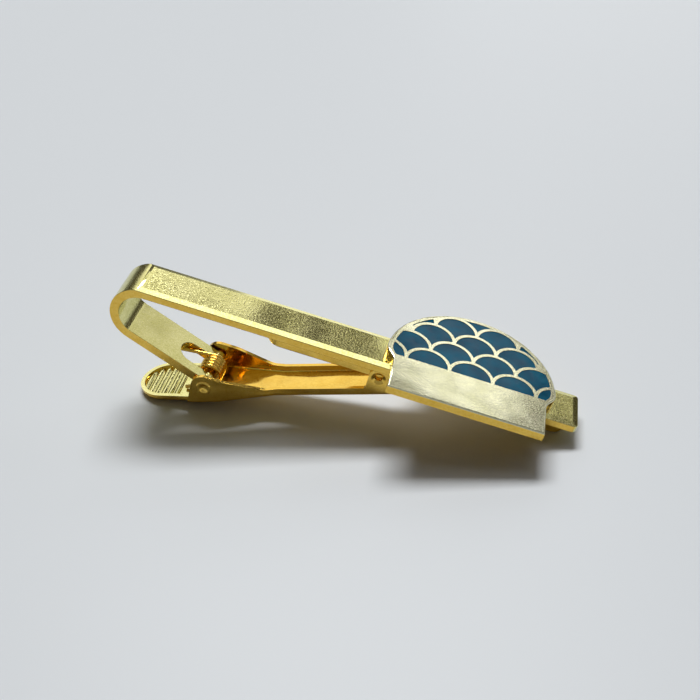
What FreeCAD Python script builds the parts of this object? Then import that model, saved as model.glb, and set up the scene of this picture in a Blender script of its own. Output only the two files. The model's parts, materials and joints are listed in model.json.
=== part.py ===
import FreeCAD, Part
import math
import os

# Tie clip: a strip bent back on itself, a sprung lever under it and an enamelled plate across its face.
# It is drawn with the strip level, its left bend at X 0 and its face at Z 0, and laid down at the end.

# Front strip
strip_width = 6.0
strip_thickness = 1.15
strip_length = 58.0
bend_radius = 3.95
arm_slope = 21.5
arm_length = 11.35
bevel_width = 0.75
bevel_depth = 0.22
eye_wall = 0.25
slot_width = 3.1
slot_reach = 4.95
tip_corner_radius = 0.6

# Backing strip
backing_start = 19.3
backing_thickness = 1.7
backing_setback = 1.0
backing_corner_radius = 1.7

# Hinge pin
pin_radius = 0.5
pin_head_radius = 1.0
pin_head_height = 0.15
pin_dimple_radius = 0.65
pin_dimple_depth = 0.4
running_clearance = 0.05

# Lever sheet
sheet = 0.5
cheek_clearance = 0.3
heel_setback = 0.3
heel_drop = 2.95
ear_radius = 1.7
cheek_reach = 2.2
cheek_sweep_radius = 2.5
gutter_radius = 0.75
flange_height = 1.45
taper_reach = 8.8
jaw_reach = 19.2
jaw_bend_reach = 24.95
jaw_bend_half = 1.5
jaw_bend_steps = 3
nose_reach = 29.1
jaw_width = 5.2
jaw_depth = 2.35
jaw_gap = 0.08
jaw_clearance = 0.12
jaw_corner_radius = 0.95
jaw_eye_setback = 1.2
jaw_eye_drop = 1.2
jaw_eye_radius = 0.5
jaw_dish_radius = 0.9
jaw_dish_depth = 0.22
step_radius = 0.3

# Thumb tab
tab_slope = 20.0
tab_length = 8.7
tab_width = 7.0
tab_lap = 0.8
dish_floor = 0.42
tab_edge_radius = 0.6
rim_width = 0.5
rim_height = 0.95
rib_count = 6
rib_pitch = 0.9
rib_radius = 0.5
rib_rise = 0.2
rib_sink = 0.1

# Torsion spring
wire_radius = 0.21
wire_sides = 12
turn_gap = 0.45
whole_turns = 2
coil_radius = 1.35
leg_past_seat = 0.9
leg_on_tab = 2.3
seat_gap = 0.04
seat_lean_share = 1.2

# Emblem plate
emblem_middle = 44.1
emblem_base = -7.5
emblem_thickness = 1.15
base_width = 18.95
dome_radius = 10.6
dome_height = 7.1
notch_height = 4.5
flare_height = 7.7
cove_share = 0.5
border = 0.65
band_height = 6.0
emblem_edge_radius = 0.22

# Enamel and the raised scale lines between its cells
recess_depth = 0.4
enamel_drop = 0.05
scale_pitch = 5.4
line_width = 0.42
least_cell = 0.8

overrun = 2.0
samples_per_turn = 48

V = FreeCAD.Vector
Y_AXIS = V(0, 1, 0)
Z_AXIS = V(0, 0, 1)


def rounded_wire(corners):
    """A closed wire through (point, radius) corners, with a tangent arc at each corner that has a radius."""
    ends = []
    for index, (point, radius) in enumerate(corners):
        if not radius:
            ends.append((point, None, point))
            continue
        back = (corners[index - 1][0] - point).normalize()
        ahead = (corners[(index + 1) % len(corners)][0] - point).normalize()
        half = back.getAngle(ahead) / 2
        bisector = (back + ahead).normalize()
        crown = point + bisector * (radius / math.sin(half) - radius)
        reach = radius / math.tan(half)
        ends.append((point + back * reach, crown, point + ahead * reach))
    edges = []
    for index, (start, crown, finish) in enumerate(ends):
        if crown:
            edges.append(Part.Arc(start, crown, finish).toShape())
        following = ends[(index + 1) % len(ends)][0]
        if not finish.isEqual(following, Part.Precision.confusion()):
            edges.append(Part.LineSegment(finish, following).toShape())
    return Part.Wire(edges)


def prism(wire, run):
    return Part.Face(wire).extrude(run)


def across(wire, width):
    """A side outline in the XZ plane, drawn out evenly to both sides of the centre plane."""
    wire.translate(Y_AXIS * (-width / 2))
    return prism(wire, Y_AXIS * width)


def cross_cylinder(radius, centre, length):
    return Part.makeCylinder(radius, length, centre - Y_AXIS * (length / 2), Y_AXIS)


def local_frame(base, slope):
    """The placement of a frame at base whose X axis falls by slope degrees."""
    return FreeCAD.Placement(base, FreeCAD.Rotation(Y_AXIS, slope))


# Places that several pieces share
arm_run = V(math.cos(math.radians(arm_slope)), 0, -math.sin(math.radians(arm_slope)))
arm_out = V(-math.sin(math.radians(arm_slope)), 0, -math.cos(math.radians(arm_slope)))
bend_centre = V(bend_radius, 0, -bend_radius)
bend_inner_radius = bend_radius - strip_thickness
pin_axis = bend_centre + arm_out * (bend_radius - strip_thickness / 2) + arm_run * arm_length
eye_radius = pin_radius + running_clearance + eye_wall
cheek_width = strip_width + 2 * (cheek_clearance + sheet)
backing_width = jaw_width - 2 * (sheet + jaw_clearance)
backing_end = strip_length - backing_setback
backing_under = -strip_thickness - backing_thickness
jaw_top = -strip_thickness - jaw_gap
heel = pin_axis + V(-heel_setback, 0, -heel_drop)
jaw_under = -strip_thickness - jaw_depth
jaw_bend = V(pin_axis.x + jaw_bend_reach, 0, jaw_under)
rise = (jaw_bend.z - heel.z) / (jaw_bend.x - heel.x)
tab_frame = local_frame(heel, -tab_slope)


def front_bar():
    """The strip: bevelled bar, U bend and the arm with its slot and its two pin eyes."""
    reach = arm_run * arm_length
    outer_turn = bend_centre + arm_out * bend_radius
    inner_turn = bend_centre + arm_out * bend_inner_radius
    tip_top = V(strip_length, 0, 0)
    tip_under = V(strip_length, 0, -strip_thickness)
    bend_top = V(bend_radius, 0, 0)
    bend_under = V(bend_radius, 0, -strip_thickness)
    side = Part.Wire([
        Part.LineSegment(tip_top, bend_top).toShape(),
        Part.Arc(bend_top, V(0, 0, -bend_radius), outer_turn).toShape(),
        Part.LineSegment(outer_turn, outer_turn + reach).toShape(),
        Part.LineSegment(outer_turn + reach, inner_turn + reach).toShape(),
        Part.LineSegment(inner_turn + reach, inner_turn).toShape(),
        Part.Arc(inner_turn, V(strip_thickness, 0, -bend_radius), bend_under).toShape(),
        Part.LineSegment(bend_under, tip_under).toShape(),
        Part.LineSegment(tip_under, tip_top).toShape(),
    ])
    strip = across(side, strip_width)
    corners = [edge for edge in strip.Edges if edge.BoundBox.XMin > strip_length - strip_thickness / 2
               and edge.BoundBox.YLength < strip_thickness / 2]
    strip = strip.makeFillet(tip_corner_radius, corners)
    strip = strip.fuse(cross_cylinder(eye_radius, pin_axis, strip_width))
    bore = cross_cylinder(pin_radius + running_clearance, pin_axis, strip_width + overrun)
    return strip.cut([arm_slot(), bore] + bevel_cuts()).removeSplitter()


def arm_slot():
    """The slot that parts the prongs, with a round end, cut square through the arm."""
    half = slot_width / 2
    depth = eye_radius + overrun
    corners = [
        (V(-slot_reach, -half, -depth), half),
        (V(eye_radius + overrun, -half, -depth), 0),
        (V(eye_radius + overrun, half, -depth), 0),
        (V(-slot_reach, half, -depth), half),
    ]
    slot = prism(rounded_wire(corners), Z_AXIS * (2 * depth))
    slot.Placement = local_frame(pin_axis, arm_slope)
    return slot


def bevel_cuts():
    """Wedges that bevel both long edges of the face, which run out on the bend, and the tip."""
    fall = bevel_depth / bevel_width
    wide = bevel_width + overrun
    edge = strip_width / 2 - bevel_width
    wedges = []
    for side in (-1, 1):
        outer = side * (edge + wide)
        corners = [V(0, side * edge, 0), V(0, outer, -fall * wide), V(0, outer, overrun)]
        wedge = Part.makePolygon(corners + corners[:1])
        wedges.append(prism(wedge, V(strip_length + overrun, 0, 0)))
    tip = strip_length - bevel_width
    corners = [V(tip, 0, 0), V(tip + wide, 0, -fall * wide), V(tip + wide, 0, overrun)]
    wedges.append(across(Part.makePolygon(corners + corners[:1]), strip_width + overrun))
    return wedges


def backing_strip():
    """The strip soldered under the bar, with rounded corners in plan."""
    half = backing_width / 2
    corners = [
        (V(backing_start, -half, backing_under), backing_corner_radius),
        (V(backing_end, -half, backing_under), backing_corner_radius),
        (V(backing_end, half, backing_under), backing_corner_radius),
        (V(backing_start, half, backing_under), backing_corner_radius),
    ]
    return prism(rounded_wire(corners), Z_AXIS * backing_thickness)


def hinge_pin():
    """The pin, with a thin dished head peened over each cheek."""
    half = cheek_width / 2
    end = half + pin_head_height
    outline = [
        V(0, end - pin_dimple_depth, 0),
        V(0, end, pin_dimple_radius),
        V(0, end, pin_head_radius - pin_head_height),
        V(0, half, pin_head_radius),
        V(0, half, pin_radius),
    ]
    outline += [V(0, -point.y, point.z) for point in reversed(outline)]
    pin = Part.Face(Part.makePolygon(outline + outline[:1])).revolve(V(0, 0, 0), Y_AXIS, 360)
    pin.translate(pin_axis)
    return pin


def lever_under(x):
    """Height of the lever's underside: along the tab, up the gutter, round a bend and level under the jaw."""
    if x <= heel.x:
        return heel.z + (x - heel.x) * math.tan(math.radians(tab_slope))
    if x <= jaw_bend.x - jaw_bend_half:
        return heel.z + (x - heel.x) * rise
    if x >= jaw_bend.x + jaw_bend_half:
        return jaw_under
    return jaw_under - rise * (jaw_bend.x + jaw_bend_half - x) ** 2 / (4 * jaw_bend_half)


def ramp(x, start, finish, low, high):
    """A value that goes evenly from low at start to high at finish and stays level outside."""
    share = min(max((x - start) / (finish - start), 0), 1)
    return low + (high - low) * share


def channel_section(x):
    """The lever's U section at x: floor and two walls of even thickness, with round lower corners."""
    cheek_end = pin_axis.x + cheek_reach
    half = ramp(x, cheek_end, pin_axis.x + taper_reach, cheek_width, jaw_width) / 2
    outer = ramp(x, heel.x, cheek_end, tab_edge_radius, gutter_radius)
    inner = outer - sheet
    under = lever_under(x)
    floor = under + sheet * math.hypot(1, rise)
    bend = math.sqrt(0.5)

    def corner(side, radius, wall, level):
        centre = V(x, side * (wall - radius), level + radius)
        return [
            centre + V(0, side * radius, 0),
            centre + V(0, side * radius, -radius) * bend,
            centre + V(0, 0, -radius),
        ]

    near_out = corner(-1, outer, half, under)
    far_out = corner(1, outer, half, under)
    near_in = corner(-1, inner, half - sheet, floor)
    far_in = corner(1, inner, half - sheet, floor)
    tops = [V(x, y, jaw_top) for y in (-half, half, half - sheet, sheet - half)]
    return Part.Wire([
        Part.LineSegment(tops[0], near_out[0]).toShape(),
        Part.Arc(*near_out).toShape(),
        Part.LineSegment(near_out[2], far_out[2]).toShape(),
        Part.Arc(*far_out[::-1]).toShape(),
        Part.LineSegment(far_out[0], tops[1]).toShape(),
        Part.LineSegment(tops[1], tops[2]).toShape(),
        Part.LineSegment(tops[2], far_in[0]).toShape(),
        Part.Arc(*far_in).toShape(),
        Part.LineSegment(far_in[2], near_in[2]).toShape(),
        Part.Arc(*near_in[::-1]).toShape(),
        Part.LineSegment(near_in[0], tops[3]).toShape(),
        Part.LineSegment(tops[3], tops[0]).toShape(),
    ])


def lever_side():
    """The lever's side outline: round ears, sweeping cheek, low flange and tall jaw wall."""
    ear_top = pin_axis.z + ear_radius
    low = heel.z - overrun
    back = pin_axis.x - ear_radius
    jaw_start = pin_axis.x + jaw_reach
    nose = pin_axis.x + nose_reach
    sweep = heel.x + (ear_top - heel.z - flange_height) / rise
    corners = [
        (V(back, 0, low), 0),
        (V(back, 0, ear_top), ear_radius),
        (V(sweep, 0, ear_top), cheek_sweep_radius),
        (V(jaw_start, 0, lever_under(jaw_start) + flange_height), step_radius),
        (V(jaw_start, 0, jaw_top), jaw_corner_radius),
        (V(nose, 0, jaw_top), jaw_corner_radius),
        (V(nose, 0, low), 0),
    ]
    return across(rounded_wire(corners), cheek_width + overrun)


def tab_outline(inset, right, level):
    """The tab in plan, in the tab's own frame: a half-round end and straight sides."""
    half = tab_width / 2 - inset
    end = -tab_length + inset
    corners = [
        (V(right, -half, level), 0),
        (V(end, -half, level), half),
        (V(end, half, level), half),
        (V(right, half, level), 0),
    ]
    return rounded_wire(corners)


def thumb_tab():
    """The dished tab, lapped into the channel: raised rim, rounded underside and cross ribs for the thumb."""
    ear = (pin_axis.x - ear_radius - heel.x) / math.cos(math.radians(tab_slope))
    tab = prism(tab_outline(0, ear + tab_lap, 0), Z_AXIS * rim_height)
    lower = [edge for edge in tab.Edges if edge.BoundBox.ZMax < dish_floor and edge.BoundBox.XMin < ear]
    tab = tab.makeFillet(tab_edge_radius, lower)
    tab = tab.cut(prism(tab_outline(rim_width, overrun, dish_floor), Z_AXIS * rim_height))
    first = -tab_length + rim_width + rib_pitch / 2
    dish = prism(tab_outline(rim_width, overrun, dish_floor - rib_sink), Z_AXIS * rim_height)
    ribs = []
    for number in range(rib_count):
        middle = V(first + number * rib_pitch, 0, dish_floor + rib_rise - rib_radius)
        ribs.append(cross_cylinder(rib_radius, middle, tab_width).common(dish))
    tab = tab.fuse(ribs)
    tab.Placement = tab_frame
    return tab


def jaw_eyes():
    """A hole in each jaw wall, dished from outside."""
    centre = V(pin_axis.x + jaw_reach + jaw_eye_setback, 0, jaw_top - jaw_eye_drop)
    cutters = [cross_cylinder(jaw_eye_radius, centre, jaw_width + overrun)]
    for side in (-1, 1):
        root = centre + Y_AXIS * (side * (jaw_width / 2 - jaw_dish_depth))
        wide = 2 * jaw_dish_radius - jaw_eye_radius
        cutters.append(Part.makeCone(jaw_eye_radius, wide, 2 * jaw_dish_depth, root, Y_AXIS * side))
    return cutters


def grip_lever():
    """The stamped lever: channel trimmed to its side outline, with the thumb tab on its heel."""
    back = pin_axis.x - ear_radius - overrun
    nose = pin_axis.x + nose_reach + overrun
    straight = [back, heel.x, pin_axis.x + cheek_reach, pin_axis.x + taper_reach, nose]
    bend_start = jaw_bend.x - jaw_bend_half
    bend_step = 2 * jaw_bend_half / jaw_bend_steps
    bend_points = [bend_start + bend_step * step for step in range(jaw_bend_steps + 1)]
    sections = [channel_section(x) for x in sorted(straight + bend_points)]
    channel = Part.makeLoft(sections, True, True)
    lever = channel.common(lever_side()).fuse(thumb_tab())
    pin_bore = cross_cylinder(pin_radius, pin_axis, cheek_width + overrun)
    return lever.cut([pin_bore] + jaw_eyes()).removeSplitter()


def around_pin(angle, radius, y):
    return pin_axis + V(radius * math.cos(angle), y, radius * math.sin(angle))


def tangent_angle(target, side):
    """The angle at which a line from target touches the coil's centre circle, on the upper or lower side."""
    offset = target - pin_axis
    spread = math.acos(coil_radius / math.hypot(offset.x, offset.z))
    return math.atan2(offset.z, offset.x) % math.tau + side * spread


def biarc(start, start_way, finish, finish_way):
    """Two arcs that leave start and reach finish along the given unit tangents."""
    chord = finish - start
    square = 2 * (1 - start_way.dot(finish_way))
    linear = 2 * chord.dot(start_way + finish_way)
    reach = (-linear + math.sqrt(linear ** 2 + 4 * square * chord.dot(chord))) / (2 * square)
    first = start + start_way * reach
    last = finish - finish_way * reach
    middle = (first + last) / 2
    arcs = []
    for begin, control, end in ((start, first, middle), (middle, last, finish)):
        foot = (begin + end) / 2
        half = (end - begin).Length / 2
        lean = math.atan2((control - foot).Length, half)
        crown = foot + (control - foot).normalize() * (half * math.tan(lean / 2))
        arcs.append(Part.Arc(begin, crown, end).toShape())
    return arcs


def torsion_spring():
    """The coil on the pin, with one leg through the arm's slot and one on the tab's floor."""
    pitch = 2 * wire_radius + turn_gap
    coil_length = pitch * (whole_turns + 0.5)
    half_slot = slot_width / 2
    seat_x = -(slot_reach - half_slot) - math.sqrt(half_slot ** 2 - (coil_length / 2) ** 2)
    seat_z = -strip_thickness / 2 - wire_radius * seat_lean_share - seat_gap
    arm_seat = local_frame(pin_axis, arm_slope).multVec(V(seat_x, 0, seat_z))
    tab_seat = tab_frame.multVec(V(-leg_on_tab, 0, dish_floor + wire_radius + seat_gap))
    upper = tangent_angle(arm_seat, -1)
    lower = tangent_angle(tab_seat, 1) - math.tau
    sweep = upper - lower + math.tau * whole_turns
    climb = coil_length / sweep

    quarters = round(sweep / (math.pi / 2))
    nodes = []
    for index in range(quarters + 1):
        angle = lower + sweep * index / quarters
        way = V(-math.sin(angle), 0, math.cos(angle))
        if 0 < index < quarters:
            way = (way * coil_radius + Y_AXIS * climb).normalize()
        y = sweep * climb * index / quarters - coil_length / 2
        nodes.append((around_pin(angle, coil_radius, y), way))

    tab_end = V(tab_seat.x, -coil_length / 2, tab_seat.z)
    arm_point = V(arm_seat.x, coil_length / 2, arm_seat.z)
    arm_end = arm_point + nodes[-1][1] * leg_past_seat
    edges = [Part.LineSegment(tab_end, nodes[0][0]).toShape()]
    for (start, start_way), (finish, finish_way) in zip(nodes, nodes[1:]):
        edges += biarc(start, start_way, finish, finish_way)
    edges.append(Part.LineSegment(nodes[-1][0], arm_end).toShape())
    path = Part.Wire(edges)
    print_turn_gap(path, sweep)
    return path.makePipeShell([wire_section(tab_end, nodes[0][1])], True, False)


def wire_section(centre, way):
    """The wire's section at its free end, with its flats even round the way that it runs."""
    lift = way.cross(Y_AXIS)
    ring = []
    for side in range(wire_sides):
        turn = math.tau * side / wire_sides
        ring.append(centre + (Y_AXIS * math.cos(turn) + lift * math.sin(turn)) * wire_radius)
    return Part.makePolygon(ring + ring[:1])


def print_turn_gap(path, sweep):
    """Measures the least gap between turns on points along the wire's middle."""
    count = round(samples_per_turn * sweep / math.tau)
    points = path.discretize(Number=count)
    spacing = path.Length / (count - 1)
    apart = math.ceil(math.pi * coil_radius / spacing)
    least = min(
        points[one].distanceToPoint(points[two])
        for one in range(count)
        for two in range(one + apart, count)
    )
    print(f"spring: least gap between turns {least - 2 * wire_radius:.3f} mm")


def emblem_place(x, y, z):
    return V(emblem_middle + x, emblem_base + y, z)


def emblem_outline(inset, level):
    """The plate in plan, drawn in by inset: a straight base that flares softly into a dome."""
    half = base_width / 2 - inset
    radius = dome_radius - inset
    flare_half = math.sqrt(radius ** 2 - (flare_height - dome_height) ** 2)
    handle = (flare_height - notch_height) * cove_share
    lean = V(dome_height - flare_height, flare_half, 0).normalize() * handle

    def place(side, x, y):
        return emblem_place(side * x, y, level)

    def flare(side):
        curve = Part.BezierCurve()
        curve.setPoles([
            place(side, half, notch_height),
            place(side, half, notch_height + handle),
            place(side, flare_half - lean.x, flare_height - lean.y),
            place(side, flare_half, flare_height),
        ])
        return curve.toShape()

    return Part.Wire([
        Part.LineSegment(place(-1, half, inset), place(1, half, inset)).toShape(),
        Part.LineSegment(place(1, half, inset), place(1, half, notch_height)).toShape(),
        flare(1),
        Part.Arc(place(1, flare_half, flare_height), place(1, 0, dome_height + radius),
                 place(-1, flare_half, flare_height)).toShape(),
        flare(-1),
        Part.LineSegment(place(-1, half, notch_height), place(-1, half, inset)).toShape(),
    ])


def emblem_blank():
    """The plate before its recesses, with the upper edge rounded."""
    blank = prism(emblem_outline(0, 0), Z_AXIS * emblem_thickness)
    rim = [edge for edge in blank.Edges if edge.BoundBox.ZMin > emblem_thickness / 2]
    return blank.makeFillet(emblem_edge_radius, rim)


def scale_line(x, y, level):
    """One raised half-round line of the scale pattern, as a flat face."""
    outer = scale_pitch / 2 + line_width / 2
    inner = scale_pitch / 2 - line_width / 2
    return Part.Face(Part.Wire([
        Part.Arc(emblem_place(x + outer, y, level), emblem_place(x, y + outer, level),
                 emblem_place(x - outer, y, level)).toShape(),
        Part.LineSegment(emblem_place(x - outer, y, level), emblem_place(x - inner, y, level)).toShape(),
        Part.Arc(emblem_place(x - inner, y, level), emblem_place(x, y + inner, level),
                 emblem_place(x + inner, y, level)).toShape(),
        Part.LineSegment(emblem_place(x + inner, y, level), emblem_place(x + outer, y, level)).toShape(),
    ]))


def enamel_faces():
    """The floors of the enamel cells: the domed field, less rows of overlapping scale lines."""
    level = emblem_thickness - recess_depth
    radius = dome_radius - border
    upper = Part.makePlane(2 * dome_radius, 2 * dome_radius, emblem_place(-dome_radius, band_height, level))
    field = Part.Face(emblem_outline(border, level)).common(upper)
    rows = math.ceil((dome_height + radius - band_height) / (scale_pitch / 2))
    columns = math.ceil(radius / scale_pitch)
    lines = []
    for row in range(rows):
        for column in range(-columns, columns + 1):
            shift = scale_pitch / 2 if row % 2 else 0
            lines.append(scale_line(column * scale_pitch + shift, band_height + row * scale_pitch / 2, level))
    cells = field.cut(lines[0].multiFuse(lines[1:]))
    return [face for face in cells.Faces if face.Area > least_cell * line_width]


def emblem_plate(cells):
    """The struck plate with a recess for each enamel cell."""
    recesses = [cell.extrude(Z_AXIS * (recess_depth + overrun)) for cell in cells]
    return emblem_blank().cut(recesses)


def enamel_cells(cells):
    """One pool of enamel in each recess, a little below the metal."""
    return Part.makeCompound([cell.extrude(Z_AXIS * (recess_depth - enamel_drop)) for cell in cells])


def lie_slope():
    """Degrees that the strip falls as the clip lies on the lever's heel or tab and the backing's end."""
    tab_end = tab_frame.multVec(V(-tab_length + tab_edge_radius, 0, 0))
    slopes = []
    for rest in (heel, tab_end):
        slopes.append(math.degrees(math.atan2(backing_under - rest.z, backing_end - rest.x)))
    return max(slopes)


def lay_down(pieces):
    """Turns the pieces as they lie and puts the origin under the middle of their box."""
    turned = {}
    for name, shape in pieces.items():
        shape = shape.copy()
        shape.rotate(V(0, 0, 0), Y_AXIS, lie_slope())
        turned[name] = shape
    box = Part.makeCompound(list(turned.values())).optimalBoundingBox(False)
    shift = V(-box.Center.x, -box.Center.y, -box.ZMin)
    for shape in turned.values():
        shape.translate(shift)
    hinge = FreeCAD.Rotation(Y_AXIS, lie_slope()).multVec(pin_axis) + shift
    print(f"lie {lie_slope():.3f} degrees, hinge axis at {hinge.x:.4f}, {hinge.y:.4f}, {hinge.z:.4f} mm")
    print(f"box {box.XLength:.3f} x {box.YLength:.3f} x {box.ZLength:.3f} mm")
    return turned


def main():
    cells = enamel_faces()
    pieces = {
        "front_bar": front_bar(),
        "backing_strip": backing_strip(),
        "emblem_plate": emblem_plate(cells),
        "enamel_cells": enamel_cells(cells),
        "grip_lever": grip_lever(),
        "hinge_pin": hinge_pin(),
        "torsion_spring": torsion_spring(),
    }
    os.makedirs("parts", exist_ok=True)
    for name, shape in lay_down(pieces).items():
        print(f"{name}: {len(shape.Solids)} solids, {shape.Volume:.3f} mm3, valid {shape.isValid()}")
        shape.exportStep(f"parts/{name}.step")


main()
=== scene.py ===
import json
import math

import bmesh
import bpy
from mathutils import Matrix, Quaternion, Vector

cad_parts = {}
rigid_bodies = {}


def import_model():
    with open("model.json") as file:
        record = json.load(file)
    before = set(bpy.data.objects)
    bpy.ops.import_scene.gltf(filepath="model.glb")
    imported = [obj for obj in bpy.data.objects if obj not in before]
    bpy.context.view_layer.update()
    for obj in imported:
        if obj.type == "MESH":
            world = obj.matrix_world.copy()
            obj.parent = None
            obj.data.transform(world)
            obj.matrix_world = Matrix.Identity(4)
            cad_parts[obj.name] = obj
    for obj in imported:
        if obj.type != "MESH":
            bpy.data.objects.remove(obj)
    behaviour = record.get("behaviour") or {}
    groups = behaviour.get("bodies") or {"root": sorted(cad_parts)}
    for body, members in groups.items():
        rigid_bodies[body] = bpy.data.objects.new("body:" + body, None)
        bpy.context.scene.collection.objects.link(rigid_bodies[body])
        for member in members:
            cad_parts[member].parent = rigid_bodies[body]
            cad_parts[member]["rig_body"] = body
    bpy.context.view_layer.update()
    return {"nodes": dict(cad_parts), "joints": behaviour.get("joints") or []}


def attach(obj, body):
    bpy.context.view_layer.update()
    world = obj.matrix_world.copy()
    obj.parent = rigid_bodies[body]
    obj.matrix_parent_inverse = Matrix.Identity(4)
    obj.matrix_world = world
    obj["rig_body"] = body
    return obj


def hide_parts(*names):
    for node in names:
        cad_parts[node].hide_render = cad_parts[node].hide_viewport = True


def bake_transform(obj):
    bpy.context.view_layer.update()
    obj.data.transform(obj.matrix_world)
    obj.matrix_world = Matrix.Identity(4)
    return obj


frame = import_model()

MM = 0.001

# Where the clip lies: the strip falls to the right, and the hinge axis runs across it
lie_angle = math.radians(15.293)
strip_up = Vector((math.sin(lie_angle), 0, math.cos(lie_angle)))
across = Vector((0, 1, 0))
hinge = Vector(frame["joints"][0]["pos_m"])

# Softened edges: what counts as flat, sharp and smooth, and each piece's width of edge
merge_distance = 0.0005 * MM
flat_angle = math.radians(1.0)
edge_angle = math.radians(28)
smooth_angle = math.radians(32)
edge_segments = 2
strip_edge = 0.06 * MM
backing_edge = 0.12 * MM
plate_edge = 0.03 * MM
pool_edge = 0.02 * MM
lever_edge = 0.05 * MM
pin_edge = 0.04 * MM

# Places in a piece's list of materials
main_finish = 0
second_finish = 1
painted_side_shade = 2

# Which faces take which finish: how much of a normal lies along a direction, and a bevel's least area
strip_side_lean = 0.9
bevel_least_lean = 0.85
bevel_most_lean = 0.985
bevel_least_area = MM * MM
upper_lean = 0.3

# Thumb tab: how far behind the hinge its paler upper side, a painted highlight, starts
tab_highlight_start = 2.5 * MM

# Enamel pools
pool_top_lean = 0.9
pool_lip = 0.1 * MM
pool_dip = 0.02 * MM

# Spring: wire, close turns on the pin and the places where its legs bear
wire_radius = 0.24 * MM
coil_radius = 1.38 * MM
coil_turns = 4
coil_pitch = 0.55 * MM
points_per_turn = 40
points_per_ring = 12
arm_slope = math.radians(21.5) + lie_angle
arm_seat_reach = 4.45 * MM
arm_seat_drop = 0.9 * MM
arm_leg_past = 0.75 * MM
tab_slope = math.radians(20.0) - lie_angle
heel_back = 0.3 * MM
heel_drop = 2.95 * MM
tab_seat_reach = 2.3 * MM
tab_seat_lift = 0.72 * MM

# Noise: where most of its values start and end
noise_start = 0.3
noise_end = 0.7

# Gold: dark and light tones, and the grain's share in mixing them. The pale tones on the thumb tab's
# upper side are a painted highlight, and the rich tones are painted warm shade on the strip's sides
# and partly on the plate's sides.
pale_and_tab_highlight_tones = ((0.57, 0.535, 0.16), (0.95, 0.90, 0.44))
rich_and_side_shade_tones = ((0.73, 0.44, 0.055), (0.91, 0.63, 0.14))
champagne_tones = ((0.68, 0.67, 0.41), (0.94, 0.93, 0.68))
grain_share = 0.55

# Enamel: dark and light tones, slow clouds and a slightly wavy gloss
enamel_tones = ((0.002, 0.058, 0.110), (0.004, 0.110, 0.190))
enamel_cloud_size = 2.2 * MM
enamel_wave_size = 1.1 * MM
enamel_wave_depth = 0.05 * MM
enamel_wave_strength = 0.35
enamel_roughness = (0.10, 0.22)
enamel_specular = 0.14

# Floor
floor_reach = 3.0
floor_colour = (0.72, 0.76, 0.80, 1)
floor_roughness = 0.45
floor_specular = 0.3

# Room: its colours, and where along the way up and the way back its pale horizon and pale front fade
dim_colour = (0.060, 0.052, 0.040, 1)
pale_colour = (0.42, 0.44, 0.46, 1)
horizon_share = 1.0
horizon_fade = (0.06, 0.14)
front_share = 0.65
front_fade = (0.0, 0.35)

# Lamps
lamp_aim = Vector((0, 0, 0))

# Camera
camera_place = Vector((0.02052, -0.09708, 0.08158))
camera_aim = Vector((-0.00074, 0.00489, 0.0038))
camera_roll = math.radians(-1.929)
focal_length = 51.43
sensor_width = 36.0
nearest_seen = 0.005


def new_material(name):
    """A new material and its shader."""
    material = bpy.data.materials.new(name)
    material.use_nodes = True
    return material, material.node_tree.nodes["Principled BSDF"]


def noise(tree, size, detail=2.0, roughness=0.5):
    """A noise texture whose features are about size metres across, in the part's own frame."""
    place = tree.nodes.new("ShaderNodeTexCoord")
    texture = tree.nodes.new("ShaderNodeTexNoise")
    texture.inputs["Scale"].default_value = 1 / size
    texture.inputs["Detail"].default_value = detail
    texture.inputs["Roughness"].default_value = roughness
    tree.links.new(place.outputs["Object"], texture.inputs["Vector"])
    return texture.outputs["Fac"]


def between(tree, factor, low, high, start=noise_start, end=noise_end):
    """Values from low to high, as the factor goes from start to end."""
    span = tree.nodes.new("ShaderNodeMapRange")
    span.inputs["From Min"].default_value = start
    span.inputs["From Max"].default_value = end
    span.inputs["To Min"].default_value = low
    span.inputs["To Max"].default_value = high
    tree.links.new(factor, span.inputs["Value"])
    return span.outputs["Result"]


def two_tone(tree, factor, dark, light):
    """Mixes two colours by a noise factor."""
    ramp = tree.nodes.new("ShaderNodeValToRGB")
    first, last = ramp.color_ramp.elements
    first.position = noise_start
    first.color = (*dark, 1)
    last.position = noise_end
    last.color = (*light, 1)
    tree.links.new(factor, ramp.inputs["Fac"])
    return ramp.outputs["Color"]


def mixed(tree, one, two, share):
    """Two noise factors as one, with the second given its share."""
    node = tree.nodes.new("ShaderNodeMix")
    node.inputs["Factor"].default_value = share
    tree.links.new(one, node.inputs["A"])
    tree.links.new(two, node.inputs["B"])
    return node.outputs["Result"]


def calculated(tree, operation, one, two):
    """Two values joined by a named operation."""
    node = tree.nodes.new("ShaderNodeMath")
    node.operation = operation
    tree.links.new(one, node.inputs[0])
    tree.links.new(two, node.inputs[1])
    return node.outputs["Value"]


def bump(tree, factor, depth, strength=1.0, below=None):
    """A bumped normal, laid over a coarser one where that is given."""
    node = tree.nodes.new("ShaderNodeBump")
    node.inputs["Strength"].default_value = strength
    node.inputs["Distance"].default_value = depth
    tree.links.new(factor, node.inputs["Height"])
    if below:
        tree.links.new(below, node.inputs["Normal"])
    return node.outputs["Normal"]


def gold(name, tones, roughness, grain_size, grain_depth, grain_strength, cloud_size, wave_depth):
    """Plated sheet: cloudy tone, uneven polish, slow waves and a fine grain."""
    material, shader = new_material(name)
    tree = material.node_tree
    cloud = noise(tree, cloud_size, detail=3.0)
    grain = noise(tree, grain_size, roughness=0.6)
    tone = mixed(tree, cloud, grain, grain_share)
    wave = bump(tree, noise(tree, cloud_size, detail=0.0), wave_depth)
    surface = bump(tree, grain, grain_depth, grain_strength, wave)
    shader.inputs["Metallic"].default_value = 1.0
    tree.links.new(two_tone(tree, tone, *tones), shader.inputs["Base Color"])
    tree.links.new(between(tree, grain, *roughness), shader.inputs["Roughness"])
    tree.links.new(surface, shader.inputs["Normal"])
    return material


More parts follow.
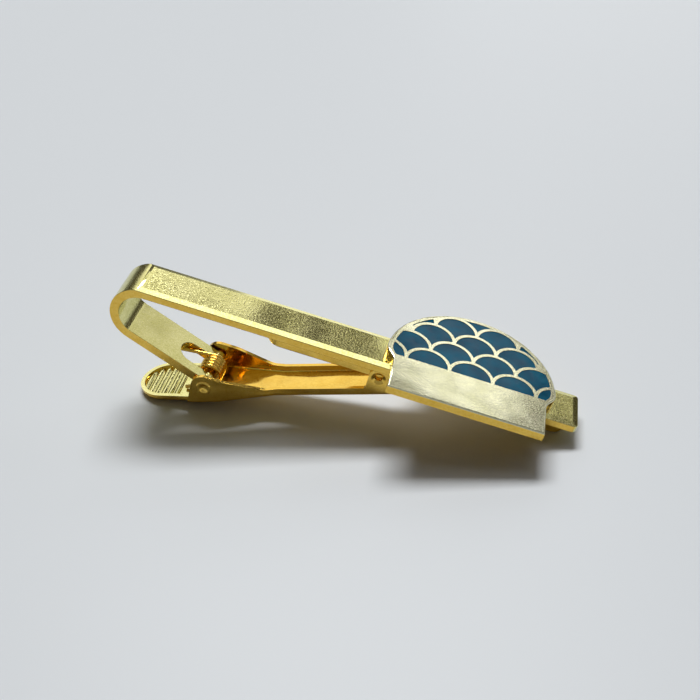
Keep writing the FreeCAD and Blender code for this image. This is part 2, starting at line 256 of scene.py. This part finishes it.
def enamel():
    """Deep blue glossy enamel with a slightly wavy top."""
    material, shader = new_material("blue_enamel")
    tree = material.node_tree
    cloud = noise(tree, enamel_cloud_size)
    wave = noise(tree, enamel_wave_size, detail=1.0)
    surface = bump(tree, wave, enamel_wave_depth, enamel_wave_strength)
    tree.links.new(two_tone(tree, cloud, *enamel_tones), shader.inputs["Base Color"])
    tree.links.new(between(tree, wave, *enamel_roughness), shader.inputs["Roughness"])
    tree.links.new(surface, shader.inputs["Normal"])
    shader.inputs["Specular IOR Level"].default_value = enamel_specular
    return material


def floor_material():
    """Plain pale floor with a soft sheen."""
    material, shader = new_material("pale_floor")
    shader.inputs["Base Color"].default_value = floor_colour
    shader.inputs["Roughness"].default_value = floor_roughness
    shader.inputs["Specular IOR Level"].default_value = floor_specular
    return material


# The strip, apart from its bevels and sides
satin = gold(
    "satin_gold",
    pale_and_tab_highlight_tones,
    roughness=(0.10, 0.20),
    grain_size=0.24 * MM,
    grain_depth=0.022 * MM,
    grain_strength=0.62,
    cloud_size=6.0 * MM,
    wave_depth=0.20 * MM,
)

# Lever, pin and backing strip in their own deeper gold; on the strip's sides this deeper gold is
# painted warm shade, and on the plate's sides and back it is partly plain gold and partly painted
# warm shade
polish_and_side_shade = gold(
    "polished_gold",
    rich_and_side_shade_tones,
    roughness=(0.09, 0.17),
    grain_size=0.25 * MM,
    grain_depth=0.006 * MM,
    grain_strength=0.15,
    cloud_size=2.6 * MM,
    wave_depth=0.14 * MM,
)

# The strip's bevels in their own pale gold, and the thumb tab's upper side, where the pale gold is a
# painted highlight on the deeper lever gold
bright_and_tab_highlight = gold(
    "bright_gold_and_tab_highlight",
    pale_and_tab_highlight_tones,
    roughness=(0.10, 0.18),
    grain_size=0.25 * MM,
    grain_depth=0.005 * MM,
    grain_strength=0.15,
    cloud_size=4.0 * MM,
    wave_depth=0.05 * MM,
)

# The emblem's face and rim
struck = gold(
    "struck_gold",
    champagne_tones,
    roughness=(0.10, 0.22),
    grain_size=0.20 * MM,
    grain_depth=0.014 * MM,
    grain_strength=0.40,
    cloud_size=3.0 * MM,
    wave_depth=0.03 * MM,
)

# The spring's wire
spring_gold = gold(
    "spring_gold",
    rich_and_side_shade_tones,
    roughness=(0.10, 0.18),
    grain_size=0.25 * MM,
    grain_depth=0.005 * MM,
    grain_strength=0.15,
    cloud_size=3.0 * MM,
    wave_depth=0.02 * MM,
)

blue = enamel()


def smooth(mesh):
    """Smooth shading, kept crisp at edges sharper than the smoothing angle."""
    for face in mesh.polygons:
        face.use_smooth = True
    mesh.set_sharp_from_angle(angle=smooth_angle)


def add_piece(name, mesh, materials):
    """An object of the mesh, in the scene."""
    piece = bpy.data.objects.new(name, mesh)
    bpy.context.scene.collection.objects.link(piece)
    for material in materials:
        mesh.materials.append(material)
    return piece


def clean_copy(node):
    """The node's mesh with its seams merged and its flat faces whole."""
    shape = bmesh.new()
    shape.from_mesh(frame["nodes"][node].data)
    bmesh.ops.remove_doubles(shape, verts=shape.verts, dist=merge_distance)
    bmesh.ops.dissolve_limit(shape, angle_limit=flat_angle, verts=shape.verts, edges=shape.edges)
    return shape


def finish_borders(shape):
    """The numbers of the edges where two materials meet."""
    shape.edges.index_update()
    borders = []
    for edge in shape.edges:
        finishes = {face.material_index for face in edge.link_faces}
        if len(finishes) > 1:
            borders.append(edge.index)
    return borders


def softened(node, width, materials, pick=None, shape=None, crisp=False):
    """A copy of a CAD node with its sharp edges rounded, which stands for the node on its body.

    A crisp copy shades sharply where two materials meet."""
    if shape is None:
        shape = clean_copy(node)
    if pick:
        for face in shape.faces:
            face.material_index = pick(face)
    creases = finish_borders(shape) if crisp else []
    mesh = bpy.data.meshes.new(f"{node}_soft")
    shape.to_mesh(mesh)
    shape.free()
    smooth(mesh)
    for index in creases:
        mesh.edges[index].use_edge_sharp = True
    piece = add_piece(f"{node}_soft", mesh, materials)
    edge = piece.modifiers.new("edges", "BEVEL")
    edge.width = width
    edge.segments = edge_segments
    edge.limit_method = "ANGLE"
    edge.angle_limit = edge_angle
    edge.use_clamp_overlap = True
    edge.harden_normals = True
    flats = piece.modifiers.new("flats", "WEIGHTED_NORMAL")
    flats.keep_sharp = True
    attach(piece, frame["nodes"][node]["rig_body"])
    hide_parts(node)


def strip_face(face):
    """The second finish for the bevels along the strip's face, and the third, a deeper gold that is
    painted warm shade, for its sides.
    """
    if abs(face.normal.y) > strip_side_lean:
        return painted_side_shade
    lean = face.normal.dot(strip_up)
    on_bevel = bevel_least_lean < lean < bevel_most_lean
    return second_finish if on_bevel and face.calc_area() > bevel_least_area else main_finish


def lever_face(face):
    """The second finish for the thumb tab's upper side, a paler gold that is a painted highlight."""
    on_tab = face.calc_center_median().x < hinge.x - tab_highlight_start
    return second_finish if on_tab and face.normal.z > upper_lean else main_finish


def struck_face(face):
    """The second finish for the emblem's face and rounded rim; the sides and back keep the deeper
    gold, partly plain gold and partly painted warm shade.
    """
    return second_finish if face.normal.dot(strip_up) > upper_lean else main_finish


def dished_pools():
    """The enamel's cells, each top drawn down a little from its lip."""
    shape = clean_copy("enamel_cells")
    tops = [face for face in shape.faces if face.normal.dot(strip_up) > pool_top_lean]
    bmesh.ops.inset_individual(
        shape, faces=tops, thickness=pool_lip, depth=-pool_dip, use_even_offset=True
    )
    return shape


def tube(points, radius, name, materials):
    """A closed round tube along points, with its rings turned as little as possible."""
    shape = bmesh.new()
    rings = []
    side = None
    for index, point in enumerate(points):
        before = points[max(index - 1, 0)]
        after = points[min(index + 1, len(points) - 1)]
        ahead = (after - before).normalized()
        if side is None:
            side = ahead.orthogonal().normalized()
        else:
            side = (side - ahead * side.dot(ahead)).normalized()
        lift = ahead.cross(side)
        ring = []
        for step in range(points_per_ring):
            turn = math.tau * step / points_per_ring
            outward = side * math.cos(turn) + lift * math.sin(turn)
            ring.append(shape.verts.new(point + outward * radius))
        rings.append(ring)
    for one, two in zip(rings, rings[1:]):
        for step in range(points_per_ring):
            beside = (step + 1) % points_per_ring
            shape.faces.new((one[step], one[beside], two[beside], two[step]))
    shape.faces.new(rings[0][::-1])
    shape.faces.new(rings[-1])
    bmesh.ops.recalc_face_normals(shape, faces=shape.faces)
    mesh = bpy.data.meshes.new(name)
    shape.to_mesh(mesh)
    shape.free()
    smooth(mesh)
    return add_piece(name, mesh, materials)


def slanted(slope, along, up):
    """A place beside the hinge, along and above a line that falls by slope."""
    run = Vector((math.cos(slope), 0, -math.sin(slope)))
    rise = Vector((math.sin(slope), 0, math.cos(slope)))
    return run * along + rise * up


def tangent_angle(target, side):
    """The angle on the coil at which a straight leg leaves for target, given from the hinge."""
    reach = math.hypot(target.x, target.z)
    return math.atan2(target.z, target.x) % math.tau + side * math.acos(coil_radius / reach)


def torsion_spring():
    """Close turns round the pin, one leg through the arm's slot and one on the tab."""
    arm_seat = slanted(arm_slope, -arm_seat_reach, -arm_seat_drop)
    heel = slanted(lie_angle, -heel_back, -heel_drop)
    tab_seat = heel + slanted(-tab_slope, -tab_seat_reach, tab_seat_lift)
    upper = tangent_angle(arm_seat, -1)
    lower = tangent_angle(tab_seat, 1) - math.tau
    sweep = upper - lower + math.tau * coil_turns
    length = coil_pitch * sweep / math.tau
    near = hinge - across * (length / 2)
    far = hinge + across * (length / 2)
    count = round(points_per_turn * sweep / math.tau)
    coil = []
    for index in range(count + 1):
        angle = lower + sweep * index / count
        round_pin = Vector((math.cos(angle), 0, math.sin(angle))) * coil_radius
        coil.append(near.lerp(far, index / count) + round_pin)
    arm_foot = far + arm_seat
    arm_way = (arm_foot - coil[-1]).normalized()
    points = [near + tab_seat] + coil + [arm_foot, arm_foot + arm_way * arm_leg_past]
    spring = tube(points, wire_radius, "wound_spring", [spring_gold])
    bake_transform(spring)
    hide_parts("torsion_spring")


# The strip's sides and the plate's sides and back take the deeper gold: painted warm shade on the
# strip, partly so on the plate. The tab's upper side takes the paler gold as a painted highlight.
softened("front_bar", strip_edge, [satin, bright_and_tab_highlight, polish_and_side_shade], strip_face, crisp=True)
softened("backing_strip", backing_edge, [polish_and_side_shade])
softened("emblem_plate", plate_edge, [polish_and_side_shade, struck], struck_face)
softened("enamel_cells", pool_edge, [blue], shape=dished_pools())
softened("grip_lever", lever_edge, [polish_and_side_shade, bright_and_tab_highlight], lever_face)
softened("hinge_pin", pin_edge, [polish_and_side_shade])
torsion_spring()


def add_floor():
    """One large flat sheet that the clip lies on."""
    corners = [
        (-floor_reach, -floor_reach, 0),
        (floor_reach, -floor_reach, 0),
        (floor_reach, floor_reach, 0),
        (-floor_reach, floor_reach, 0),
    ]
    mesh = bpy.data.meshes.new("floor")
    mesh.from_pydata(corners, [], [(0, 1, 2, 3)])
    add_piece("floor", mesh, [floor_material()])


def add_lamp(name, place, size, power):
    """A soft box: its place and size in metres and its power in watts."""
    data = bpy.data.lights.new(name, "AREA")
    data.shape = "RECTANGLE"
    data.size, data.size_y = size
    data.energy = power
    lamp = bpy.data.objects.new(name, data)
    lamp.location = place
    lamp.rotation_mode = "QUATERNION"
    lamp.rotation_quaternion = (lamp_aim - Vector(place)).to_track_quat("-Z", "Y")
    bpy.context.scene.collection.objects.link(lamp)


def add_world():
    """A dim warm room, which the eye and the metal see pale in front and along the horizon."""
    world = bpy.data.worlds.new("studio")
    world.use_nodes = True
    tree = world.node_tree
    place = tree.nodes.new("ShaderNodeTexCoord")
    way = tree.nodes.new("ShaderNodeSeparateXYZ")
    tree.links.new(place.outputs["Generated"], way.inputs["Vector"])
    horizon = between(tree, way.outputs["Z"], horizon_share, 0.0, *horizon_fade)
    front = between(tree, way.outputs["Y"], front_share, 0.0, *front_fade)
    rays = tree.nodes.new("ShaderNodeLightPath")
    seen = calculated(tree, "ADD", rays.outputs["Is Camera Ray"], rays.outputs["Is Glossy Ray"])
    seen = calculated(tree, "ADD", seen, rays.outputs["Is Transmission Ray"])
    paleness = calculated(tree, "MULTIPLY", calculated(tree, "MAXIMUM", horizon, front), seen)
    ramp = tree.nodes.new("ShaderNodeValToRGB")
    first, last = ramp.color_ramp.elements
    first.color = dim_colour
    last.color = pale_colour
    tree.links.new(paleness, ramp.inputs["Fac"])
    tree.links.new(ramp.outputs["Color"], tree.nodes["Background"].inputs["Color"])
    bpy.context.scene.world = world


def add_camera():
    """The camera, with its roll, at the viewing angle."""
    data = bpy.data.cameras.new("camera")
    data.lens = focal_length
    data.sensor_width = sensor_width
    data.clip_start = nearest_seen
    camera = bpy.data.objects.new("camera", data)
    camera.location = camera_place
    camera.rotation_mode = "QUATERNION"
    level = (camera_aim - camera_place).to_track_quat("-Z", "Y")
    camera.rotation_quaternion = level @ Quaternion((0, 0, 1), camera_roll)
    bpy.context.scene.collection.objects.link(camera)
    bpy.context.scene.camera = camera


add_floor()
add_lamp("key_softbox", place=(-0.357, 1.428, 2.265), size=(1.50, 0.60), power=58.50)
add_lamp("back_softbox", place=(-0.729, 1.851, 1.341), size=(1.80, 0.68), power=4.14)
add_lamp("low_softbox", place=(0.342, 2.598, 0.654), size=(1.29, 1.15), power=4.50)
add_lamp("top_softbox", place=(0.474, 0.894, 2.502), size=(1.50, 0.66), power=4.95)
add_lamp("glint_softbox", place=(0.699, 2.157, 1.470), size=(0.45, 0.27), power=0.67)
add_lamp("right_softbox", place=(1.470, 1.650, 1.230), size=(1.08, 0.90), power=2.25)
add_world()
add_camera()
bpy.context.scene.view_settings.view_transform = "Standard"
